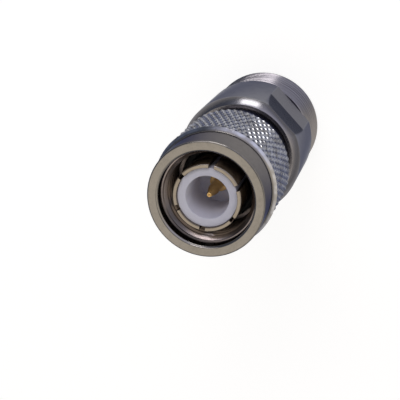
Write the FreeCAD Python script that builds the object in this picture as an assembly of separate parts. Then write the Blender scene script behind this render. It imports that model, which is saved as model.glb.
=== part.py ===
import FreeCAD, Part
import math
import os

# N to TNC coaxial adapter: an N jack at the foot, a TNC plug with a loose knurled
# coupling nut at the top. Everything is turned about the Z axis. Z = 0 is the end
# face of the N jack, and the front of the nut is the highest face. Millimetres.

V = FreeCAD.Vector
AXIS = V(0, 0, 1)

# N jack barrel
jack_thread_od = 15.875
jack_thread_length = 7.2
jack_relief_width = 1.0
jack_relief_od = 14.4
jack_end_chamfer = 0.6
jack_mouth_bore = 8.1
jack_mouth_depth = 9.1
jack_mouth_lead_in = 0.5

# Body with two wrench flats
body_od = 16.2
wrench_length = 10.5
shoulder_length = 1.0
shoulder_face_od = 14.5
flats_across = 14.8
flat_count = 2
flat_front_land = 4.25
flat_cutter_radius = 12.0

# Bore between the two mouths that holds the insulators
line_bore = 7.0
line_length = 4.9

# Neck that carries the coupling nut, with the outer contact pressed into it
neck_wall = 0.94
neck_length = 9.4
neck_step = 0.6
neck_root_length = 3.5

# Coupling nut
nut_length = 17.9
nut_gap = 0.4
nut_band_od = 14.15
nut_band_length = 4.5
nut_rise_length = 0.4
nut_taper_length = 4.0
nut_back_od = 13.7
nut_edge_chamfer = 0.15
nut_thread_minor = 10.26
nut_mouth_bore = 11.52
nut_mouth_depth = 1.5
nut_mouth_chamfer = 0.22
nut_relief_depth = 0.7
nut_float = 0.2
nut_neck_overhang = 0.7

# Diamond knurl on the nut
knurl_od = 15.2
knurl_depth = 0.2
knurl_count = 58
knurl_rows = 4.5
rim_proud = 0.02
knurl_core_wall = 0.2

# Spring ring that keeps the nut on
ring_section = 0.8
ring_gap = 1.6
ring_side_play = 0.05
neck_groove_depth = 0.45

# Gasket
gasket_thickness = 1.5
gasket_width = 0.8
gasket_front_room = 0.3

# Slotted outer contact of the TNC plug
collar_od = 8.1
collar_wall = 0.4
collar_reach = 8.27
collar_seat_depth = 4.1
collar_flare = 0.1
slot_count = 6
slot_width = 0.65
slot_length = 6.3
slot_turn = 38.4

# Insulators
plug_bore = 5.24
plug_bore_depth = 6.74
plug_sleeve_recess = 0.33
bead_length = 6.0
nose_recess = 1.0

# Centre contact: a pin screwed into a socket
pin_od = 1.35
pin_reach = 5.75
pin_nose_length = 2.2
pin_nose_od = 0.54
pin_flange_od = 2.4
pin_flange_thickness = 0.4
pin_stub_od = 1.2
pin_stub_length = 4.3
hub_od = 2.0
socket_od = 3.05
socket_bore = 1.65
socket_bore_depth = 4.6
socket_recess = 5.0
socket_slot_count = 4
socket_slot_width = 0.35
socket_slot_length = 3.9
socket_slot_turn = 45.0
socket_edge = 0.2
stub_hole_room = 0.3

# Clearances, all radial
running_clearance = 0.05
seat_clearance = 0.01

# Heights worked out from the sizes above
z_barrel = jack_thread_length + jack_relief_width
z_shoulder = z_barrel + wrench_length
z_face = z_shoulder + shoulder_length
z_step = z_face + neck_root_length
z_seat = z_face + neck_length
z_nut_back = z_face + nut_gap
z_nut_front = z_nut_back + nut_length
z_bearing_low = z_step + nut_float
z_bearing_high = z_seat - nut_neck_overhang
z_ring = (z_bearing_low + z_bearing_high) / 2
z_collar_low = z_seat - collar_seat_depth
z_collar_tip = z_seat + collar_reach
z_stop = jack_mouth_depth + line_length
z_nose = jack_mouth_depth + nose_recess
z_plug_bottom = z_collar_tip - plug_bore_depth - plug_sleeve_recess
z_pin_tip = z_plug_bottom + pin_reach

# Radii shared by pieces that meet, worked out from the collar outwards
collar_radius = collar_od / 2
sleeve_radius = collar_radius - collar_wall - seat_clearance
chamber_radius = collar_radius + seat_clearance
neck_radius = chamber_radius + neck_wall
neck_root_radius = neck_radius + neck_step
neck_groove_radius = neck_radius - neck_groove_depth
ring_inner_radius = neck_groove_radius + ring_side_play
ring_outer_radius = ring_inner_radius + ring_section
bearing_radius = neck_radius + running_clearance
hub_hole_radius = hub_od / 2 + seat_clearance


def turned(points):
    """Solid turned about Z from a closed outline of (radius, height) points."""
    corners = [V(r, 0, z) for r, z in points]
    outline = Part.makePolygon(corners + corners[:1])
    return Part.Face(outline).revolve(V(0, 0, 0), AXIS, 360)


def bar(radius, low, high):
    return Part.makeCylinder(radius, high - low, V(0, 0, low))


def tube(outer, inner, low, high):
    return bar(outer, low, high).cut(bar(inner, low, high))


def spun(shape, degrees):
    turned_copy = shape.copy()
    turned_copy.rotate(V(0, 0, 0), AXIS, degrees)
    return turned_copy


def radial_slots(count, width, inner, outer, low, high, start=0.0):
    """Straight slots cut from the side, one every 360 / count degrees."""
    slot = Part.makeBox(outer - inner, width, high - low, V(inner, -width / 2, low))
    return [spun(slot, start + 360.0 * i / count) for i in range(count)]


def wrench_flat():
    """What the milling cutter removes for one flat: its straight pass and its run-out."""
    half = flats_across / 2
    deep = flat_cutter_radius
    z_full = z_shoulder - flat_front_land
    passed = Part.makeBox(deep, body_od, z_full - z_barrel + jack_relief_width / 2,
                          V(half, -body_od / 2, z_barrel - jack_relief_width / 2))
    run_out = Part.makeCylinder(flat_cutter_radius, body_od,
                                V(half + flat_cutter_radius, -body_od / 2, z_full), V(0, 1, 0))
    return passed.fuse(run_out)


def main_body():
    thread = jack_thread_od / 2
    relief = jack_relief_od / 2
    mouth = jack_mouth_bore / 2
    outline = [
        (mouth + jack_mouth_lead_in, 0),
        (thread - jack_end_chamfer, 0),
        (thread, jack_end_chamfer),
        (thread, jack_thread_length),
        (relief, jack_thread_length),
        (relief, z_barrel),
        (body_od / 2, z_barrel),
        (body_od / 2, z_shoulder),
        (shoulder_face_od / 2, z_face),
        (neck_root_radius, z_face),
        (neck_root_radius, z_step),
        (neck_radius, z_step),
        (neck_radius, z_seat),
        (chamber_radius, z_seat),
        (chamber_radius, z_stop),
        (line_bore / 2, z_stop),
        (line_bore / 2, jack_mouth_depth),
        (mouth, jack_mouth_depth),
        (mouth, jack_mouth_lead_in),
    ]
    body = turned(outline)
    flat = wrench_flat()
    flats = [spun(flat, 360.0 * i / flat_count) for i in range(flat_count)]
    half_groove = ring_section / 2 + ring_side_play
    groove = tube(2 * neck_radius, neck_groove_radius, z_ring - half_groove, z_ring + half_groove)
    return body.cut(flats + [groove])


def knurl_drum(low, high):
    """Diamond knurl: pointed pyramids between two crossing sets of V grooves."""
    crest = knurl_od / 2
    root = crest - knurl_depth
    row = (high - low) / knurl_rows
    step = 2 * math.pi / knurl_count

    def point(radius, column, level):
        angle = step * column
        return V(radius * math.cos(angle), radius * math.sin(angle), low + row * level)

    def end_star(level):
        corners = []
        shift = level % 1
        for i in range(knurl_count):
            corners += [point(crest, i + shift, level), point(root, i + shift + 0.5, level)]
        return Part.Face(Part.makePolygon(corners + corners[:1]))

    faces = [end_star(0), end_star(knurl_rows)]
    for half_row in range(int(2 * knurl_rows) + 1):
        level = half_row / 2
        for i in range(knurl_count):
            column = i + level % 1
            peak = point(crest, column, level)
            left = point(root, column - 0.5, level)
            right = point(root, column + 0.5, level)
            ends = []
            if level > 0:
                ends.append(point(root, column, level - 0.5))
            if level < knurl_rows:
                ends.append(point(root, column, level + 0.5))
            for end in ends:
                for side in (left, right):
                    faces.append(Part.Face(Part.makePolygon([peak, side, end, peak])))
    shell = Part.Shell(faces)
    shell.sewShape()
    return Part.Solid(shell)


def coupling_nut():
    band = nut_band_od / 2
    rim = knurl_od / 2 + rim_proud
    core = knurl_od / 2 - knurl_depth - knurl_core_wall
    knurl_low = z_nut_back + nut_taper_length
    knurl_high = z_nut_front - nut_band_length - nut_rise_length
    outside = turned([
        (0, z_nut_back),
        (nut_back_od / 2, z_nut_back),
        (rim, knurl_low),
        (core, knurl_low),
        (core, knurl_high),
        (rim, knurl_high),
        (band, knurl_high + nut_rise_length),
        (band, z_nut_front - nut_edge_chamfer),
        (band - nut_edge_chamfer, z_nut_front),
        (0, z_nut_front),
    ])
    blank = outside.fuse(knurl_drum(knurl_low, knurl_high))
    groove = ring_outer_radius + ring_side_play
    half_groove = ring_section / 2 + ring_side_play
    z_thread_low = z_seat + gasket_thickness + gasket_front_room
    z_thread_high = z_nut_front - nut_mouth_depth
    inside = turned([
        (0, z_nut_back),
        (neck_root_radius + running_clearance, z_nut_back),
        (neck_root_radius + running_clearance, z_bearing_low),
        (bearing_radius, z_bearing_low),
        (bearing_radius, z_ring - half_groove),
        (groove, z_ring - half_groove),
        (groove, z_ring + half_groove),
        (bearing_radius, z_ring + half_groove),
        (bearing_radius, z_bearing_high),
        (bearing_radius + nut_relief_depth, z_bearing_high),
        (bearing_radius + nut_relief_depth, z_thread_low),
        (nut_thread_minor / 2, z_thread_low),
        (nut_thread_minor / 2, z_thread_high),
        (nut_mouth_bore / 2, z_thread_high),
        (nut_mouth_bore / 2, z_nut_front - nut_mouth_chamfer),
        (nut_mouth_bore / 2 + nut_mouth_chamfer, z_nut_front),
        (0, z_nut_front),
    ])
    return blank.cut(inside)


def nut_snap_ring():
    low = z_ring - ring_section / 2
    ring = tube(ring_outer_radius, ring_inner_radius, low, low + ring_section)
    return ring.cut(radial_slots(1, ring_gap, 0, 2 * neck_radius, low, low + ring_section))


def nut_gasket():
    inner = collar_radius + seat_clearance
    return tube(inner + gasket_width, inner, z_seat, z_seat + gasket_thickness)


def outer_contact():
    outer = collar_radius
    inner = outer - collar_wall
    tip = outer + collar_flare
    collar = turned([
        (inner, z_collar_low),
        (outer, z_collar_low),
        (outer, z_collar_tip - slot_length),
        (tip, z_collar_tip),
        (inner, z_collar_tip),
    ])
    slots = radial_slots(slot_count, slot_width, 0, collar_od,
                         z_collar_tip - slot_length, z_collar_tip + slot_width, slot_turn)
    return collar.cut(slots)


def tnc_insulator():
    flange = chamber_radius - seat_clearance
    return turned([
        (hub_hole_radius, z_stop + bead_length),
        (flange, z_stop + bead_length),
        (flange, z_collar_low),
        (sleeve_radius, z_collar_low),
        (sleeve_radius, z_collar_tip - plug_sleeve_recess),
        (plug_bore / 2, z_collar_tip - plug_sleeve_recess),
        (plug_bore / 2, z_plug_bottom),
        (hub_hole_radius, z_plug_bottom),
    ])


def n_insulator():
    nose = line_bore / 2 - seat_clearance
    bead = chamber_radius - seat_clearance
    return turned([
        (hub_hole_radius, z_nose),
        (nose, z_nose),
        (nose, z_stop),
        (bead, z_stop),
        (bead, z_stop + bead_length),
        (hub_hole_radius, z_stop + bead_length),
    ])


def centre_pin():
    return turned([
        (0, z_plug_bottom - pin_stub_length),
        (pin_stub_od / 2, z_plug_bottom - pin_stub_length),
        (pin_stub_od / 2, z_plug_bottom),
        (pin_flange_od / 2, z_plug_bottom),
        (pin_flange_od / 2, z_plug_bottom + pin_flange_thickness),
        (pin_od / 2, z_plug_bottom + pin_flange_thickness),
        (pin_od / 2, z_pin_tip - pin_nose_length),
        (pin_nose_od / 2, z_pin_tip),
        (0, z_pin_tip),
    ])


def socket_contact():
    outer = socket_od / 2
    inner = socket_bore / 2
    stub_hole = pin_stub_od / 2 + seat_clearance
    z_stub_hole = z_plug_bottom - pin_stub_length - stub_hole_room
    contact = turned([
        (inner, socket_recess),
        (outer - socket_edge, socket_recess),
        (outer, socket_recess + socket_edge),
        (outer, z_nose),
        (hub_od / 2, z_nose),
        (hub_od / 2, z_plug_bottom),
        (stub_hole, z_plug_bottom),
        (stub_hole, z_stub_hole),
        (0, z_stub_hole),
        (0, socket_recess + socket_bore_depth),
        (inner, socket_recess + socket_bore_depth),
    ])
    slots = radial_slots(socket_slot_count, socket_slot_width, 0, socket_od,
                         socket_recess, socket_recess + socket_slot_length, socket_slot_turn)
    return contact.cut(slots)


PIECES = (
    main_body,
    coupling_nut,
    nut_snap_ring,
    nut_gasket,
    outer_contact,
    tnc_insulator,
    n_insulator,
    centre_pin,
    socket_contact,
)

os.makedirs("parts", exist_ok=True)
for piece in PIECES:
    shape = piece()
    solid = shape.Solids[0] if len(shape.Solids) == 1 else shape
    solid.exportStep("parts/" + piece.__name__ + ".step")
    print(piece.__name__, len(shape.Solids), round(shape.Volume, 2), shape.isValid())
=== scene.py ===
import math

import bpy
from mathutils import Matrix, Vector


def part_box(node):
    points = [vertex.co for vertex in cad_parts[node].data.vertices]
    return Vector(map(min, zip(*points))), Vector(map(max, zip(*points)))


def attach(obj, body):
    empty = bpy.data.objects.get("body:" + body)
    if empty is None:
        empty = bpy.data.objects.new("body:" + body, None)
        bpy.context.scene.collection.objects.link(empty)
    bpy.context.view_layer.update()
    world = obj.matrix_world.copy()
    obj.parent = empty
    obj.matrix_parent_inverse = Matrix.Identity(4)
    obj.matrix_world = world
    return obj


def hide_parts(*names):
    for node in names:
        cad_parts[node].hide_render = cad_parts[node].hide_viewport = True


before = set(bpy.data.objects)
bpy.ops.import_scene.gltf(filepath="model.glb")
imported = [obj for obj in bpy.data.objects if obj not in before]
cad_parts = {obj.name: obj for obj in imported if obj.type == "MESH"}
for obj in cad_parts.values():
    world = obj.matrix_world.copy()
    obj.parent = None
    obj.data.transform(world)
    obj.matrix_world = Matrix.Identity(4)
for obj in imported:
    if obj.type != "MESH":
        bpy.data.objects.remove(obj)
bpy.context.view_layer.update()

# N to TNC adapter, standing on its N end. Sizes in this script are millimetres, and
# MM turns them into the frame's metres. Heights run up the turned axis from the floor.
MM = 0.001


def low_of(node):
    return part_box(node)[0].z / MM


def top_of(node):
    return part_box(node)[1].z / MM


def radius_of(node):
    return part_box(node)[1].x / MM


# Sizes that the frame gives
nut_back = low_of("coupling_nut")
nut_front = top_of("coupling_nut")
rim_radius = radius_of("coupling_nut")
body_radius = radius_of("main_body")
neck_top = top_of("main_body")
collar_low = low_of("outer_contact")
collar_tip = top_of("outer_contact")
collar_tip_radius = radius_of("outer_contact")
plug_low = low_of("tnc_insulator")
plug_top = top_of("tnc_insulator")
bead_low = low_of("n_insulator")
bead_top = top_of("n_insulator")
pin_low = low_of("centre_pin")
pin_tip = top_of("centre_pin")
socket_front = low_of("socket_contact")
socket_back = top_of("socket_contact")
gasket_low = low_of("nut_gasket")
gasket_top = top_of("nut_gasket")
gasket_radius = radius_of("nut_gasket")

# N barrel and its 5/8-24 thread
barrel_pitch = 1.0583
barrel_thread_radius = 7.9375
barrel_root_radius = 7.365
barrel_length = 7.2
barrel_crest_flat = 0.132
barrel_chamfer = 0.6
barrel_relief_radius = 7.33
mouth_radius = 4.05
mouth_depth = 9.1
mouth_lead_in = 0.5
relief_top = 8.2

# Wrench body
shoulder_low = 18.7
shoulder_top = 19.7
shoulder_face_radius = 7.25
flat_distance = 7.4
flat_count = 2
flat_run_out_start = 12.4
flat_run_out_radius = 27.0
flat_run_out_steps = 48

# Neck and bores
neck_radius = 5.0
neck_root_radius = 5.6
neck_step = 23.2
line_radius = 3.5
chamber_radius = 4.06
chamber_low = 14.0

# Coupling nut, with a 7/16-28 thread inside
band_radius = 7.075
band_low = 33.5
knurl_high = 33.1
knurl_low = 24.1
nut_back_radius = 6.85
nut_edge = 0.18
mouth_bore_radius = 5.76
mouth_bore_depth = 1.5
mouth_edge = 0.22
nut_pitch = 0.9071
nut_thread_major = 5.5563
nut_thread_minor = 5.13
nut_crest_flat = 0.227
nut_thread_low = 30.9
nut_relief_radius = 5.75
nut_relief_low = 28.4
nut_bearing_radius = 5.05
nut_counterbore_radius = 5.65
nut_bearing_low = 23.4
knurl_columns = 58
knurl_rows = 4.5
knurl_depth = 0.165
knurl_tip_depth = 0.104
knurl_shoulder = (0.73, 0.165)
knurl_tip = (0.12, 0.17)
knurl_lean = 0.056
knurl_core_wall = 0.2
knurl_sunk = 0.01
grip_lap = 0.1
rim_proud = 0.02

# Slotted collar
collar_wall = 0.4
collar_flare = 0.1
collar_edge = 0.1
slot_count = 6
slot_width = 0.65
slot_length = 6.3
slot_turn = 38.4

# Insulators and contacts
plug_bore_radius = 2.62
plug_bore_bottom = 30.3
sleeve_radius = 3.64
hub_hole_radius = 1.01
pin_radius = 0.675
pin_nose_length = 2.2
pin_nose_radius = 0.27
pin_dimple_radius = 0.13
pin_dimple_lip = 0.02
pin_dimple_depth = 0.12
flange_radius = 1.2
flange_thickness = 0.4
stub_radius = 0.6
hub_radius = 1.0
socket_radius = 1.525
socket_bore_radius = 0.825
socket_bore_depth = 4.6
socket_edge = 0.2
socket_tap_run_out = 0.3
socket_drill_tip = 0.1
socket_slot_count = 4
socket_slot_width = 0.35
socket_slot_length = 3.9
socket_slot_turn = 45.0

# Room between an insulator or a pin and the bore it sits in
slide_gap = 0.01

# Threads: how far a tooth reaches into the wall that carries it, how much of that is
# kept, and how the nut's first and last turns run out
thread_lap = 0.04
thread_lap_kept = 0.03
thread_end_gap = 0.02
thread_tip_room = 0.1
thread_end_slope = 0.12

# Broken edges
metal_edge = 0.05
thin_edge = 0.04
ptfe_edge = 0.08
gasket_edge = 0.18

# Round counts: the nut's divides into its knurl, the body's into its flats
nut_sides = 4 * knurl_columns
body_sides = 192
small_sides = 96

# How near two points of the knurl are when they are one, and how finely it is cut
merge_distance = 0.02
cut_tolerance = 0.0001


# Modelling helpers

def only(piece):
    """Select one object and make it the active one."""
    bpy.ops.object.select_all(action="DESELECT")
    piece.select_set(True)
    bpy.context.view_layer.objects.active = piece


def turned(name, outline, sides, solid=False):
    """Turned piece: a ring extruded from corner to corner of a (radius, height) outline."""
    bpy.ops.object.select_all(action="DESELECT")
    radius, height = outline[0]
    bpy.ops.mesh.primitive_circle_add(vertices=sides, radius=radius * MM)
    piece = bpy.context.object
    piece.name = piece.data.name = name
    bpy.ops.object.mode_set(mode="EDIT")
    bpy.ops.mesh.select_all(action="SELECT")
    bpy.ops.transform.rotate(value=math.pi / sides, orient_axis="Z", center_override=(0, 0, 0))
    bpy.ops.transform.translate(value=(0, 0, height * MM))
    if solid:
        bpy.ops.mesh.edge_face_add()
    for next_radius, next_height in outline[1:]:
        step = (0, 0, (next_height - height) * MM)
        scale = next_radius / radius
        bpy.ops.mesh.extrude_region_move(TRANSFORM_OT_translate={"value": step})
        bpy.ops.transform.resize(value=(scale, scale, 1))
        radius, height = next_radius, next_height
    if not solid:
        bpy.ops.mesh.select_all(action="DESELECT")
        bpy.ops.mesh.select_non_manifold()
        bpy.ops.mesh.bridge_edge_loops()
    bpy.ops.mesh.select_all(action="SELECT")
    bpy.ops.mesh.normals_make_consistent(inside=False)
    bpy.ops.object.mode_set(mode="OBJECT")
    return piece


def rounded(radius, height, size, steps=4):
    """Outline corners of an outer edge, rounded about a (radius, height) centre."""
    turns = [math.pi / 2 * i / steps for i in range(steps + 1)]
    return [(radius + size * math.cos(t), height + size * math.sin(t)) for t in turns]


def soften(piece, width, steps=2, angle=30.0):
    """Break the sharp edges of a piece by a small round."""
    only(piece)
    edges = piece.modifiers.new("soft_edges", "BEVEL")
    edges.width = width * MM
    edges.segments = steps
    edges.limit_method = "ANGLE"
    edges.angle_limit = math.radians(angle)
    bpy.ops.object.modifier_apply(modifier=edges.name)


def combine(piece, operation, *tools):
    """Cut, join or trim a piece by closed tools, which are used up."""
    for tool in tools:
        only(piece)
        step = piece.modifiers.new("step", "BOOLEAN")
        step.operation = operation
        step.solver = "EXACT"
        step.object = tool
        bpy.ops.object.modifier_apply(modifier=step.name)
        bpy.data.objects.remove(tool)


def copies_around(tool, count, start=0.0):
    """Copies of a tool turned about the axis, each with its own mesh."""
    made = []
    for i in range(count):
        copy = tool.copy()
        copy.data = tool.data.copy()
        bpy.context.scene.collection.objects.link(copy)
        copy.data.transform(Matrix.Rotation(math.radians(start + 360.0 * i / count), 4, "Z"))
        made.append(copy)
    bpy.data.objects.remove(tool)
    return made


def block(low, high):
    """Box between two corners, its place in its mesh."""
    bpy.ops.object.select_all(action="DESELECT")
    bpy.ops.mesh.primitive_cube_add(size=1)
    piece = bpy.context.object
    middle = [(a + b) / 2 * MM for a, b in zip(low, high)]
    size = [(b - a) * MM for a, b in zip(low, high)]
    piece.data.transform(Matrix.Translation(middle) @ Matrix.Diagonal((*size, 1)))
    return piece


def helical_ridge(name, crest, root, pitch, crest_flat, low, high, steps=96):
    """Right-hand thread: one 60 degree tooth carried up a helix, past both ends."""
    bpy.ops.object.select_all(action="DESELECT")
    bpy.ops.mesh.primitive_plane_add(size=1)
    piece = bpy.context.object
    piece.name = piece.data.name = name
    half_crest = crest_flat / 2
    half_root = half_crest + abs(crest - root) * math.tan(math.radians(30))
    start = low - pitch
    corners = ((root, -half_root), (crest, -half_crest), (root, half_root), (crest, half_crest))
    for vertex, (radius, height) in zip(piece.data.vertices, corners):
        vertex.co = Vector((radius, 0, start + height)) * MM
    only(piece)
    bpy.ops.object.mode_set(mode="EDIT")
    bpy.ops.mesh.select_all(action="SELECT")
    bpy.ops.mesh.delete(type="ONLY_FACE")
    bpy.ops.object.mode_set(mode="OBJECT")
    helix = piece.modifiers.new("helix", "SCREW")
    helix.axis = "Z"
    helix.angle = 2 * math.pi
    helix.screw_offset = pitch * MM
    helix.iterations = math.ceil((high - low) / pitch) + 2
    helix.steps = helix.render_steps = steps
    bpy.ops.object.modifier_apply(modifier=helix.name)
    bpy.ops.object.mode_set(mode="EDIT")
    bpy.ops.mesh.select_all(action="SELECT")
    bpy.ops.mesh.fill_holes(sides=4)
    bpy.ops.mesh.normals_make_consistent(inside=False)
    bpy.ops.object.mode_set(mode="OBJECT")
    return piece


def finish_piece(piece, name, body, material, node, smooth=30.0):
    """Name, shade, paint and place a finished piece on its CAD body."""
    only(piece)
    piece.name = piece.data.name = name
    bpy.ops.object.shade_smooth_by_angle(angle=math.radians(smooth))
    if not piece.data.materials:
        piece.data.materials.append(material)
    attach(piece, body)
    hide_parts(node)
    return piece


# Materials

def node_group(name, inputs, outputs):
    """Empty shader node group with named float or colour sockets."""
    group = bpy.data.node_groups.new(name, "ShaderNodeTree")
    kinds = {"float": "NodeSocketFloat", "colour": "NodeSocketColor"}
    for label, kind in inputs:
        group.interface.new_socket(label, in_out="INPUT", socket_type=kinds[kind])
    for label, kind in outputs:
        group.interface.new_socket(label, in_out="OUTPUT", socket_type=kinds[kind])
    return group, group.nodes.new("NodeGroupInput"), group.nodes.new("NodeGroupOutput")


def maths(tree, operation, first, second=None):
    """Math node; each operand is a socket or a plain number."""
    node = tree.nodes.new("ShaderNodeMath")
    node.operation = operation
    for socket, value in zip(node.inputs, (first, second)):
        if value is None:
            continue
        if isinstance(value, (int, float)):
            socket.default_value = value
        else:
            tree.links.new(value, socket)
    return node.outputs[0]


def axis_distance(tree):
    """Object coordinates, and in millimetres the distance from the turned axis and the height."""
    place = tree.nodes.new("ShaderNodeTexCoord").outputs["Object"]
    parts = tree.nodes.new("ShaderNodeSeparateXYZ")
    tree.links.new(place, parts.inputs[0])
    across = maths(tree, "MULTIPLY", parts.outputs["X"], parts.outputs["X"])
    along = maths(tree, "MULTIPLY", parts.outputs["Y"], parts.outputs["Y"])
    radius = maths(tree, "SQRT", maths(tree, "ADD", across, along))
    radius_mm = maths(tree, "MULTIPLY", radius, 1 / MM)
    return place, radius_mm, maths(tree, "MULTIPLY", parts.outputs["Z"], 1 / MM)


def noise(tree, vector, scale, detail=3.0, roughness=0.55):
    node = tree.nodes.new("ShaderNodeTexNoise")
    node.inputs["Scale"].default_value = scale
    node.inputs["Detail"].default_value = detail
    node.inputs["Roughness"].default_value = roughness
    tree.links.new(vector, node.inputs["Vector"])
    return node.outputs["Fac"]


def spread(tree, value, low, high, to_low=0.0, to_high=1.0):
    """Map Range node, clamped."""
    node = tree.nodes.new("ShaderNodeMapRange")
    node.interpolation_type = "SMOOTHSTEP"
    numbers = {"From Min": low, "From Max": high, "To Min": to_low, "To Max": to_high}
    for label, number in numbers.items():
        if isinstance(number, (int, float)):
            node.inputs[label].default_value = number
        else:
            tree.links.new(number, node.inputs[label])
    tree.links.new(value, node.inputs["Value"])
    return node.outputs["Result"]


def mixed(tree, share, below, above):
    """Mix node for colours; each colour is a socket or a plain (r, g, b)."""
    node = tree.nodes.new("ShaderNodeMix")
    node.data_type = "RGBA"
    tree.links.new(share, node.inputs["Factor"])
    for label, colour in (("A", below), ("B", above)):
        if isinstance(colour, tuple):
            node.inputs[label].default_value = (*colour, 1)
        else:
            tree.links.new(colour, node.inputs[label])
    return node.outputs["Result"]


def relief(tree, surface, height, strength, depth):
    """Bump node from a height to the surface's normal, its depth in millimetres."""
    bump = tree.nodes.new("ShaderNodeBump")
    bump.inputs["Strength"].default_value = strength
    bump.inputs["Distance"].default_value = depth * MM
    tree.links.new(height, bump.inputs["Height"])
    tree.links.new(bump.outputs["Normal"], surface.inputs["Normal"])


def make_turning_marks():
    """Fine rings that a lathe tool leaves, on faces and round walls alike."""
    group, given, out = node_group(
        "turning_marks",
        [("Rings per mm", "float"), ("Grain", "float")],
        [("Height", "float")],
    )
    place, radius, height = axis_distance(group)
    path = maths(group, "ADD", maths(group, "MULTIPLY", radius, 1.37), height)
    rings = group.nodes.new("ShaderNodeTexNoise")
    rings.noise_dimensions = "1D"
    rings.inputs["Detail"].default_value = 2.0
    rings.inputs["Scale"].default_value = 1.0
    group.links.new(maths(group, "MULTIPLY", path, given.outputs["Rings per mm"]), rings.inputs["W"])
    grain = noise(group, place, 14000.0, 2.0)
    speckle = maths(group, "MULTIPLY", grain, given.outputs["Grain"])
    total = maths(group, "ADD", rings.outputs["Fac"], speckle)
    group.links.new(total, out.inputs["Height"])
    return group


def make_plating_tone():
    """Slow clouding of a plated surface, with finer smudges on top of it."""
    group, given, out = node_group(
        "plating_tone",
        [("Clean", "colour"), ("Dull", "colour"), ("Amount", "float")],
        [("Colour", "colour"), ("Mask", "float")],
    )
    place = axis_distance(group)[0]
    clouds = spread(group, noise(group, place, 260.0, 4.0), 0.38, 0.66)
    smudges = spread(group, noise(group, place, 1800.0, 5.0, 0.75), 0.40, 0.70)
    slow = maths(group, "MULTIPLY", clouds, 0.4)
    fine = maths(group, "MULTIPLY", smudges, 0.6)
    mask = maths(group, "MULTIPLY", maths(group, "ADD", slow, fine), given.outputs["Amount"])
    tone = mixed(group, mask, given.outputs["Clean"], given.outputs["Dull"])
    group.links.new(tone, out.inputs["Colour"])
    group.links.new(mask, out.inputs["Mask"])
    return group


def make_crest_wear_and_glint():
    """Lighter metal on whatever stands out beyond a given radius: partly rubbed wear, partly a
    painted glint and sheen.
    """
    group, given, out = node_group(
        "crest_wear_and_glint",
        [("Colour", "colour"), ("Rubbed", "colour"), ("From radius", "float"), ("To radius", "float"),
         ("Least wear", "float")],
        [("Colour", "colour"), ("Mask", "float")],
    )
    place, radius = axis_distance(group)[:2]
    reach = spread(group, radius, given.outputs["From radius"], given.outputs["To radius"])
    worn = noise(group, place, 900.0, 3.0)
    patches = spread(group, worn, 0.35, 0.6, given.outputs["Least wear"], 1.0)
    mask = maths(group, "MULTIPLY", reach, patches)
    tone = mixed(group, mask, given.outputs["Colour"], given.outputs["Rubbed"])
    group.links.new(tone, out.inputs["Colour"])
    group.links.new(mask, out.inputs["Mask"])
    return group


turning_marks = make_turning_marks()
plating_tone = make_plating_tone()
crest_wear_and_glint = make_crest_wear_and_glint()


def use_group(tree, group, **values):
    """Group node with its own values; underscores in the names stand for spaces."""
    node = tree.nodes.new("ShaderNodeGroup")
    node.node_tree = group
    for label, value in values.items():
        node.inputs[label.replace("_", " ")].default_value = value
    return node


def plain_material(name):
    material = bpy.data.materials.new(name)
    material.use_nodes = True
    return material, material.node_tree, material.node_tree.nodes["Principled BSDF"]


def plated_metal(name, clean, dull, worn_glint, edge_tint, rough, wear_glint_from, wear_glint_to,
                 rings=9.0, grain=0.25, mark_depth=0.02, clouding=0.8, least_wear=0.35):
    """Plated brass: clouded tone, lathe rings, crests lighter as wear and as a painted glint, and a
    grazing tint of its own.
    """
    material, tree, surface = plain_material(name)
    surface.inputs["Metallic"].default_value = 1.0
    surface.inputs["Specular Tint"].default_value = (*edge_tint, 1)
    tone = use_group(tree, plating_tone, Clean=(*clean, 1), Dull=(*dull, 1), Amount=clouding)
    wear_and_glint = use_group(tree, crest_wear_and_glint, Rubbed=(*worn_glint, 1), Least_wear=least_wear,
                    From_radius=wear_glint_from, To_radius=wear_glint_to)
    tree.links.new(tone.outputs["Colour"], wear_and_glint.inputs["Colour"])
    tree.links.new(wear_and_glint.outputs["Colour"], surface.inputs["Base Color"])
    low, high = rough
    matt = spread(tree, tone.outputs["Mask"], 0.0, 1.0, low, high)
    polish = maths(tree, "MULTIPLY", wear_and_glint.outputs["Mask"], 0.05)
    tree.links.new(maths(tree, "SUBTRACT", matt, polish), surface.inputs["Roughness"])
    marks = use_group(tree, turning_marks, Rings_per_mm=rings, Grain=grain)
    relief(tree, surface, marks.outputs["Height"], 0.35, mark_depth)
    return material


def ptfe_material():
    """Turned PTFE: waxy white, a little see-through, with faint tool rings."""
    material, tree, surface = plain_material("ptfe_white")
    surface.inputs["Subsurface Weight"].default_value = 0.05
    surface.inputs["Subsurface Radius"].default_value = (0.6, 0.6, 0.7)
    surface.inputs["Subsurface Scale"].default_value = 0.6 * MM
    surface.inputs["IOR"].default_value = 1.35
    tone = use_group(tree, plating_tone, Amount=0.6,
                     Clean=(0.73, 0.73, 0.80, 1), Dull=(0.69, 0.69, 0.76, 1))
    tree.links.new(tone.outputs["Colour"], surface.inputs["Base Color"])
    matt = spread(tree, tone.outputs["Mask"], 0.0, 1.0, 0.42, 0.55)
    tree.links.new(matt, surface.inputs["Roughness"])
    marks = use_group(tree, turning_marks, Rings_per_mm=11.0, Grain=0.15)
    relief(tree, surface, marks.outputs["Height"], 0.3, 0.015)
    return material


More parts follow.
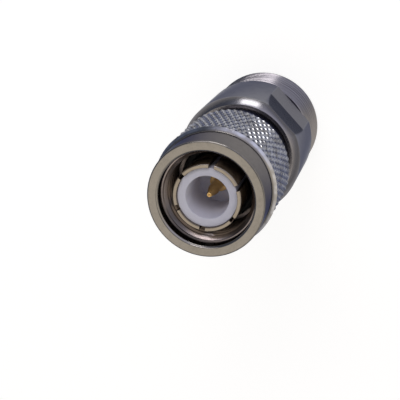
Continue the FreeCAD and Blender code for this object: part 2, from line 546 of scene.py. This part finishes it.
def rubber_material():
    """Moulded silicone rubber with a dusty bloom."""
    material, tree, surface = plain_material("gasket_rubber")
    tone = use_group(tree, plating_tone, Amount=0.7,
                     Clean=(0.022, 0.022, 0.024, 1), Dull=(0.04, 0.04, 0.042, 1))
    tree.links.new(tone.outputs["Colour"], surface.inputs["Base Color"])
    matt = spread(tree, tone.outputs["Mask"], 0.0, 1.0, 0.55, 0.8)
    tree.links.new(matt, surface.inputs["Roughness"])
    place = tree.nodes.new("ShaderNodeTexCoord").outputs["Object"]
    relief(tree, surface, noise(tree, place, 6000.0, 3.0), 0.3, 0.02)
    return material


# Each metal is lighter from one radius to another, partly as rubbed wear and partly as a painted
# glint: the body on its largest round, the nut on its knurl, the collar on its tips
nickel_body = plated_metal(
    "nickel_body", clean=(0.30, 0.29, 0.30), dull=(0.265, 0.255, 0.265), worn_glint=(0.44, 0.44, 0.46),
    edge_tint=(0.24, 0.25, 0.32), rough=(0.19, 0.27), wear_glint_from=8.02, wear_glint_to=8.12,
    rings=6.0, clouding=0.4, least_wear=0.8)
# Painted light: a lighter copy of the body's nickel for the flats.
nickel_flat_painted_lighter = plated_metal(
    "nickel_flat_painted_lighter", clean=(0.33, 0.32, 0.33), dull=(0.29, 0.28, 0.29), worn_glint=(0.44, 0.44, 0.46),
    edge_tint=(0.42, 0.43, 0.48), rough=(0.20, 0.28), wear_glint_from=8.02, wear_glint_to=8.12,
    rings=6.0, clouding=0.4, least_wear=0.8)
# Painted shade: a dark copy of the body's nickel for the run-outs, which face down into shade.
nickel_run_out_painted_shade = plated_metal(
    "nickel_run_out_painted_shade", clean=(0.13, 0.13, 0.14), dull=(0.10, 0.10, 0.11), worn_glint=(0.30, 0.30, 0.32),
    edge_tint=(0.32, 0.33, 0.38), rough=(0.24, 0.34), wear_glint_from=8.02, wear_glint_to=8.12, rings=6.0)
# The nut's lavender crest colour is partly wear and partly a painted glint and reflection on the
# knurl and its rise.
nickel_nut = plated_metal(
    "nickel_nut", clean=(0.31, 0.29, 0.265), dull=(0.25, 0.235, 0.21), worn_glint=(0.58, 0.59, 0.63),
    edge_tint=(0.18, 0.20, 0.31), rough=(0.12, 0.20), wear_glint_from=7.15, wear_glint_to=7.38, rings=8.0)
# Painted light: a lighter, browner copy of the nut's nickel for its inside.
nickel_inside_painted_light = plated_metal(
    "nickel_inside_painted_light", clean=(0.38, 0.33, 0.31), dull=(0.31, 0.265, 0.25), worn_glint=(0.40, 0.36, 0.34),
    edge_tint=(0.26, 0.22, 0.21), rough=(0.29, 0.35), wear_glint_from=9.0, wear_glint_to=9.1,
    rings=8.0, mark_depth=0.01, clouding=0.3)
nickel_contact = plated_metal(
    "nickel_contact", clean=(0.34, 0.30, 0.25), dull=(0.27, 0.23, 0.19), worn_glint=(0.50, 0.45, 0.38),
    edge_tint=(0.3, 0.29, 0.28), rough=(0.10, 0.18), wear_glint_from=4.03, wear_glint_to=4.08, rings=10.0)
spring_steel = plated_metal(
    "spring_steel", clean=(0.42, 0.42, 0.44), dull=(0.30, 0.30, 0.32), worn_glint=(0.5, 0.5, 0.52),
    edge_tint=(0.5, 0.5, 0.52), rough=(0.25, 0.38), wear_glint_from=5.3, wear_glint_to=5.45, rings=5.0)
gold_contact = plated_metal(
    "gold_contact", clean=(0.83, 0.56, 0.22), dull=(0.66, 0.40, 0.15), worn_glint=(0.92, 0.68, 0.32),
    edge_tint=(0.9, 0.8, 0.6), rough=(0.16, 0.28), wear_glint_from=1.1, wear_glint_to=1.25, rings=14.0)
ptfe = ptfe_material()
gasket_rubber = rubber_material()


# Coupling nut

def knurl_drum():
    """Diamond knurl: a pyramid with a steeper tip and no base, spun round, stacked and capped."""
    crest = rim_radius - rim_proud
    root = crest - knurl_depth
    turn = 2 * math.pi / knurl_columns
    row = (knurl_high - knurl_low) / knurl_rows
    half_width = root * math.tan(turn / 2)
    first = knurl_low - row
    levels = int(2 * (knurl_rows + 2)) + 1

    bpy.ops.object.select_all(action="DESELECT")
    bpy.ops.mesh.primitive_circle_add(vertices=4, radius=1, rotation=(0, math.pi / 2, 0))
    drum = bpy.context.object
    bpy.ops.object.transform_apply(location=False, rotation=True, scale=False)
    bpy.ops.object.mode_set(mode="EDIT")
    bpy.ops.mesh.select_all(action="SELECT")
    bpy.ops.transform.resize(value=(1, half_width * MM, row / 2 * MM))
    bpy.ops.transform.translate(value=(root * MM, 0, first * MM))
    steps = ((knurl_depth - knurl_tip_depth, knurl_shoulder), (knurl_tip_depth, knurl_tip))
    for rise, scale in steps:
        bpy.ops.mesh.extrude_region_move(TRANSFORM_OT_translate={"value": (rise * MM, 0, 0)})
        bpy.ops.transform.resize(value=(1, *scale))
    bpy.ops.transform.translate(value=(0, knurl_lean * MM, 0))
    bpy.ops.mesh.edge_face_add()
    bpy.ops.mesh.select_all(action="SELECT")
    bpy.ops.mesh.spin(steps=knurl_columns - 1, dupli=True, angle=2 * math.pi - turn,
                      center=(0, 0, 0), axis=(0, 0, 1))
    bpy.ops.object.mode_set(mode="OBJECT")

    ring = drum.data.copy()
    rows = [drum]
    for level in range(1, levels):
        copy = bpy.data.objects.new("knurl_row", ring.copy())
        bpy.context.scene.collection.objects.link(copy)
        rise = Matrix.Translation((0, 0, level * row / 2 * MM))
        copy.data.transform(rise @ Matrix.Rotation((level % 2) * turn / 2, 4, "Z"))
        rows.append(copy)
    only(drum)
    for copy in rows:
        copy.select_set(True)
    bpy.ops.object.join()

    bpy.ops.object.mode_set(mode="EDIT")
    bpy.ops.mesh.select_all(action="SELECT")
    bpy.ops.mesh.remove_doubles(threshold=merge_distance * MM)
    for height, keep_above in ((knurl_low - knurl_sunk, True), (knurl_high + knurl_sunk, False)):
        bpy.ops.mesh.select_all(action="SELECT")
        bpy.ops.mesh.bisect(plane_co=(0, 0, height * MM), plane_no=(0, 0, 1),
                            threshold=cut_tolerance * MM, use_fill=True,
                            clear_inner=keep_above, clear_outer=not keep_above)
    bpy.ops.mesh.select_all(action="SELECT")
    bpy.ops.mesh.normals_make_consistent(inside=False)
    bpy.ops.object.mode_set(mode="OBJECT")
    return drum


def paint_nut_inside(nut):
    """Own material slot for the nut's thread and what lies behind it: rougher than the outside, and
    painted lighter and browner as reflected light.
    """
    for material in (nickel_nut, nickel_inside_painted_light):
        nut.data.materials.append(material)
    for face in nut.data.polygons:
        if math.hypot(face.center.x, face.center.y) / MM < mouth_bore_radius - 0.02:
            face.material_index = 1


def coupling_nut():
    core = rim_radius - rim_proud - knurl_depth - knurl_core_wall
    thread_high = nut_front - mouth_bore_depth
    nut = turned("nut", [
        (nut_counterbore_radius, nut_back),
        (nut_back_radius, nut_back),
        (rim_radius - rim_proud - knurl_depth, knurl_low),
        (core, knurl_low + knurl_depth),
        (core, knurl_high - knurl_depth),
        (rim_radius, knurl_high),
        (band_radius, band_low),
        *rounded(band_radius - nut_edge, nut_front - nut_edge, nut_edge),
        (mouth_bore_radius + mouth_edge, nut_front),
        (mouth_bore_radius, nut_front - mouth_edge),
        (mouth_bore_radius, thread_high),
        (nut_thread_major, thread_high),
        (nut_thread_major, nut_thread_low),
        (nut_relief_radius, nut_thread_low),
        (nut_relief_radius, nut_relief_low),
        (nut_bearing_radius, nut_relief_low),
        (nut_bearing_radius, nut_bearing_low),
        (nut_counterbore_radius, nut_bearing_low),
    ], nut_sides)
    soften(nut, metal_edge)

    grip = knurl_drum()
    core_bar = turned("grip_core", [
        (core - grip_lap, knurl_low - 1),
        (core - grip_lap, knurl_high + 1),
    ], nut_sides, solid=True)
    combine(grip, "DIFFERENCE", core_bar)

    ridge = helical_ridge("nut_thread", nut_thread_minor, nut_thread_major + thread_lap, nut_pitch,
                          nut_crest_flat, nut_thread_low, thread_high)
    depth = nut_thread_major - nut_thread_minor
    room = turned("nut_thread_room", [
        (nut_thread_major + thread_lap_kept, nut_thread_low + thread_end_gap),
        (nut_thread_minor - thread_tip_room, nut_thread_low + depth + thread_end_slope),
        (nut_thread_minor - thread_tip_room, thread_high - depth - thread_end_slope),
        (nut_thread_major + thread_lap_kept, thread_high - thread_end_gap),
    ], nut_sides)
    combine(ridge, "INTERSECT", room)
    combine(nut, "UNION", grip, ridge)
    paint_nut_inside(nut)
    return finish_piece(nut, "coupling_nut_dressed", "nut", nickel_nut, "coupling_nut",
                        smooth=24.0)


# Body

def wrench_cutter():
    """A block whose leading edge is rounded as the cutter's path is."""
    reach = 10.0
    side = body_radius + 1
    cutter = block((flat_distance, -side, relief_top - 0.5),
                   (flat_distance + reach, side, flat_run_out_start + flat_run_out_radius))
    only(cutter)
    bpy.ops.object.mode_set(mode="EDIT")
    bpy.ops.mesh.select_all(action="DESELECT")
    bpy.ops.object.mode_set(mode="OBJECT")
    near = flat_distance * MM
    high = (flat_run_out_start + flat_run_out_radius) * MM
    for edge in cutter.data.edges:
        ends = [cutter.data.vertices[i].co for i in edge.vertices]
        edge.select = all(abs(e.x - near) < 1e-6 and abs(e.z - high) < 1e-6 for e in ends)
    bpy.ops.object.mode_set(mode="EDIT")
    bpy.ops.mesh.select_mode(type="EDGE")
    bpy.ops.mesh.bevel(offset=flat_run_out_radius * MM, segments=flat_run_out_steps, affect="EDGES")
    bpy.ops.mesh.select_mode(type="VERT")
    bpy.ops.object.mode_set(mode="OBJECT")
    return cutter


def paint_milled_faces(body):
    """Own material slots for the two flats, painted lighter, and for their curved run-outs, painted
    dark as shade.
    """
    for material in (nickel_body, nickel_flat_painted_lighter, nickel_run_out_painted_shade):
        body.data.materials.append(material)
    for face in body.data.polygons:
        reach = abs(face.center.x) / MM
        height = face.center.z / MM
        turned_wall = math.hypot(face.center.x, face.center.y) / MM > body_radius - 0.06
        if turned_wall or abs(face.normal.x) < 0.9 or not relief_top < height < shoulder_low:
            continue
        if reach < flat_distance + 0.01:
            face.material_index = 1
        # Painted shade on the run-outs that face down.
        elif face.normal.z < -0.01:
            face.material_index = 2


def adapter_body():
    body = turned("body", [
        (mouth_radius + mouth_lead_in, 0),
        (barrel_root_radius, 0),
        (barrel_root_radius, barrel_length),
        (barrel_relief_radius, barrel_length),
        (barrel_relief_radius, relief_top),
        (body_radius, relief_top),
        (body_radius, shoulder_low),
        (shoulder_face_radius, shoulder_top),
        (neck_root_radius, shoulder_top),
        (neck_root_radius, neck_step),
        (neck_radius, neck_step),
        (neck_radius, neck_top),
        (chamber_radius, neck_top),
        (chamber_radius, chamber_low),
        (line_radius, chamber_low),
        (line_radius, mouth_depth),
        (mouth_radius, mouth_depth),
        (mouth_radius, mouth_lead_in),
    ], body_sides)
    combine(body, "DIFFERENCE", *copies_around(wrench_cutter(), flat_count))
    soften(body, metal_edge, angle=16.0)
    paint_milled_faces(body)

    ridge = helical_ridge("barrel_thread", barrel_thread_radius, barrel_root_radius - thread_lap,
                          barrel_pitch, barrel_crest_flat, 0, barrel_length)
    deep = barrel_root_radius - 0.06
    wide = barrel_thread_radius + 0.03
    room = turned("barrel_thread_room", [
        (deep, 0.03),
        (barrel_thread_radius - barrel_chamfer, 0.03),
        (wide, barrel_chamfer + 0.06),
        (wide, barrel_length - barrel_chamfer),
        (deep, barrel_length - thread_end_gap),
    ], body_sides)
    combine(ridge, "INTERSECT", room)
    combine(body, "UNION", ridge)
    return finish_piece(body, "adapter_body", "adapter", nickel_body, "main_body",
                        smooth=16.0)


# Contacts, insulators and seals

def slot_cutters(count, width, reach, low, high, turn):
    return copies_around(block((0, -width / 2, low), (reach, width / 2, high)), count, turn)


def slotted_collar():
    root_radius = collar_tip_radius - collar_flare
    inner = root_radius - collar_wall
    collar = turned("collar", [
        (inner, collar_low),
        (root_radius, collar_low),
        (root_radius, collar_tip - slot_length),
        (collar_tip_radius, collar_tip - collar_edge),
        (collar_tip_radius - collar_edge, collar_tip),
        (inner, collar_tip),
    ], body_sides)
    slots = slot_cutters(slot_count, slot_width, collar_tip_radius + 1,
                         collar_tip - slot_length, collar_tip + 1, slot_turn)
    combine(collar, "DIFFERENCE", *slots)
    soften(collar, thin_edge)
    return finish_piece(collar, "slotted_collar", "adapter", nickel_contact,
                        "outer_contact")


def plug_insulator():
    sleeve = turned("plug_insulator", [
        (hub_hole_radius, plug_low),
        (chamber_radius - slide_gap, plug_low),
        (chamber_radius - slide_gap, collar_low),
        (sleeve_radius, collar_low),
        (sleeve_radius, plug_top),
        (plug_bore_radius, plug_top),
        (plug_bore_radius, plug_bore_bottom),
        (hub_hole_radius, plug_bore_bottom),
    ], body_sides)
    soften(sleeve, ptfe_edge, 3)
    return finish_piece(sleeve, "plug_insulator", "adapter", ptfe, "tnc_insulator")


def jack_insulator():
    bead = turned("jack_insulator", [
        (hub_hole_radius, bead_low),
        (line_radius - slide_gap, bead_low),
        (line_radius - slide_gap, chamber_low),
        (chamber_radius - slide_gap, chamber_low),
        (chamber_radius - slide_gap, bead_top),
        (hub_hole_radius, bead_top),
    ], body_sides)
    soften(bead, ptfe_edge, 3)
    return finish_piece(bead, "jack_insulator", "adapter", ptfe, "n_insulator")


def gold_pin():
    nose = pin_tip - pin_nose_length
    pin = turned("gold_pin", [
        (stub_radius, pin_low),
        (stub_radius, plug_bore_bottom),
        (flange_radius, plug_bore_bottom),
        (flange_radius, plug_bore_bottom + flange_thickness),
        (pin_radius, plug_bore_bottom + flange_thickness),
        (pin_radius, nose),
        (pin_nose_radius, pin_tip),
        (pin_dimple_radius, pin_tip - pin_dimple_lip),
        (pin_dimple_radius * 0.5, pin_tip - pin_dimple_depth),
    ], small_sides, solid=True)
    soften(pin, metal_edge, 3)
    return finish_piece(pin, "gold_pin", "adapter", gold_contact, "centre_pin",
                        smooth=35.0)


def gold_socket():
    drill = socket_front + socket_bore_depth
    tap = stub_radius + slide_gap
    tap_end = pin_low - socket_tap_run_out
    socket = turned("gold_socket", [
        (socket_bore_radius, socket_front),
        (socket_radius - socket_edge, socket_front),
        (socket_radius, socket_front + socket_edge),
        (socket_radius, bead_low),
        (hub_radius, bead_low),
        (hub_radius, socket_back),
        (tap, socket_back),
        (tap, tap_end),
        (socket_drill_tip, tap_end),
        (socket_drill_tip, drill),
        (socket_bore_radius, drill),
    ], small_sides)
    slots = slot_cutters(socket_slot_count, socket_slot_width, socket_radius + 1,
                         socket_front - 1, socket_front + socket_slot_length, socket_slot_turn)
    combine(socket, "DIFFERENCE", *slots)
    soften(socket, thin_edge)
    return finish_piece(socket, "gold_socket", "adapter", gold_contact,
                        "socket_contact", smooth=35.0)


def rubber_gasket():
    gasket = turned("rubber_gasket", [
        (chamber_radius, gasket_low),
        (gasket_radius, gasket_low),
        (gasket_radius, gasket_top),
        (chamber_radius, gasket_top),
    ], body_sides)
    soften(gasket, gasket_edge, 4)
    return finish_piece(gasket, "rubber_gasket", "adapter", gasket_rubber,
                        "nut_gasket")


coupling_nut()
adapter_body()
slotted_collar()
plug_insulator()
jack_insulator()
gold_pin()
gold_socket()
rubber_gasket()

snap_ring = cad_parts["nut_snap_ring"]
snap_ring.data.materials.clear()
snap_ring.data.materials.append(spring_steel)


# Floor, light and camera

middle = Vector((0, 0, 19)) * MM
floor_shade = 0.34
floor_glow = 0.84
mirrored_glow = 0.55
mirrored_far_share = 0.2
mirrored_pool = (45, 150)


def make_floor():
    """Pale floor: cameras and mirrors see it near white, and it keeps the adapter's shadow."""
    bpy.ops.object.select_all(action="DESELECT")
    bpy.ops.mesh.primitive_plane_add(size=4)
    floor = bpy.context.object
    floor.name = "floor"
    material, tree, surface = plain_material("pale_floor")
    surface.inputs["Base Color"].default_value = (floor_shade, floor_shade, floor_shade, 1)
    surface.inputs["Roughness"].default_value = 0.9
    surface.inputs["Specular IOR Level"].default_value = 0.1
    surface.inputs["Emission Color"].default_value = (1.0, 0.995, 0.98, 1)
    rays = tree.nodes.new("ShaderNodeLightPath")
    mirrored = maths(tree, "ADD", rays.outputs["Is Glossy Ray"], rays.outputs["Is Transmission Ray"])
    direct = maths(tree, "MULTIPLY", rays.outputs["Is Camera Ray"], floor_glow)
    far_glow = mirrored_far_share * mirrored_glow
    pool = spread(tree, axis_distance(tree)[1], *mirrored_pool, mirrored_glow, far_glow)
    glow = maths(tree, "ADD", direct, maths(tree, "MULTIPLY", mirrored, pool))
    tree.links.new(glow, surface.inputs["Emission Strength"])
    floor.data.materials.append(material)


def bearing(azimuth, elevation):
    """Direction at an azimuth from +X and an elevation above the floor, in degrees."""
    turn, lift = math.radians(azimuth), math.radians(elevation)
    return math.cos(turn) * math.cos(lift), math.sin(turn) * math.cos(lift), math.sin(lift)


def soft_box(name, direction, distance, width, height, brightness, colour):
    """Area lamp of a given brightness, aimed at the middle of the adapter."""
    data = bpy.data.lights.new(name, "AREA")
    data.shape = "RECTANGLE"
    data.size = width
    data.size_y = height
    data.energy = brightness * math.pi * width * height
    data.color = colour
    lamp = bpy.data.objects.new(name, data)
    lamp.location = middle + Vector(direction).normalized() * distance
    lamp.rotation_mode = "QUATERNION"
    lamp.rotation_quaternion = (middle - lamp.location).to_track_quat("-Z", "Y")
    bpy.context.scene.collection.objects.link(lamp)
    return lamp


def make_world():
    """Studio air: a dim bluish room with a cool wall, a warm wall and a bright ceiling panel."""
    world = bpy.data.worlds.new("studio_air")
    bpy.context.scene.world = world
    world.use_nodes = True
    tree = world.node_tree
    air = tree.nodes["Background"]
    way = tree.nodes.new("ShaderNodeTexCoord").outputs["Generated"]

    def towards(direction, low, high, to_low=0.0, to_high=1.0):
        node = tree.nodes.new("ShaderNodeVectorMath")
        node.operation = "DOT_PRODUCT"
        node.inputs[1].default_value = direction
        tree.links.new(way, node.inputs[0])
        return spread(tree, node.outputs["Value"], low, high, to_low, to_high)

    wall_foot = towards((0, 0, 1), 0.0, 0.42, 0.2, 1.0)
    wall_top = towards((0, 0, 1), 0.68, 0.80, 1.0, 0.0)
    wall = maths(tree, "MULTIPLY", wall_foot, wall_top)
    cool_side = maths(tree, "MULTIPLY", wall, towards(bearing(12, 0), 0.42, 0.85))
    warm_side = maths(tree, "MULTIPLY", wall, towards(bearing(-70, 0), 0.35, 0.85))
    room = mixed(tree, cool_side, (0.11, 0.125, 0.17), (0.80, 0.80, 0.96))
    room = mixed(tree, warm_side, room, (0.95, 0.88, 0.78))
    panel = towards(bearing(195, 65), 0.87, 0.955)
    room = mixed(tree, panel, room, (1.0, 0.93, 0.84))
    tree.links.new(room, air.inputs["Color"])
    air.inputs["Strength"].default_value = 1.0


# How the photograph's camera sees the adapter: its axes are x right, y up, z towards
# the camera. The axis runs from the N end to the nut, and one wrench flat is turned
# a little from the image's upward direction.
axis_seen = Vector((-0.2446, -0.3045, 0.9206)).normalized()
nut_face_seen = Vector((0.601, -0.0047, -115.765)) * MM
flat_turn_seen = math.radians(39)
focal_length = 90
sensor_width = 36


def make_camera():
    data = bpy.data.cameras.new("camera")
    data.lens = focal_length
    data.sensor_width = sensor_width
    data.clip_start = 0.005
    camera = bpy.data.objects.new("camera", data)
    bpy.context.scene.collection.objects.link(camera)
    bpy.context.scene.camera = camera
    up = Vector((0, 1, 0))
    upward = (up - up.dot(axis_seen) * axis_seen).normalized()
    sideways = upward.cross(axis_seen)
    x_seen = sideways * math.cos(flat_turn_seen) + upward * math.sin(flat_turn_seen)
    y_seen = upward * math.cos(flat_turn_seen) - sideways * math.sin(flat_turn_seen)
    turn = Matrix((x_seen, y_seen, axis_seen))
    place = Vector((0, 0, nut_front * MM)) - turn @ nut_face_seen
    camera.matrix_world = Matrix.Translation(place) @ turn.to_4x4()


make_floor()
make_world()
soft_box("key", bearing(44, 8), distance=0.25, width=0.105, height=0.06,
         brightness=4.4, colour=(1.0, 0.985, 0.98))
soft_box("upper", bearing(59, 46), distance=0.26, width=0.15, height=0.075,
         brightness=3.4, colour=(1.0, 0.95, 0.97))
make_camera()
bpy.context.scene.view_settings.view_transform = "Standard"
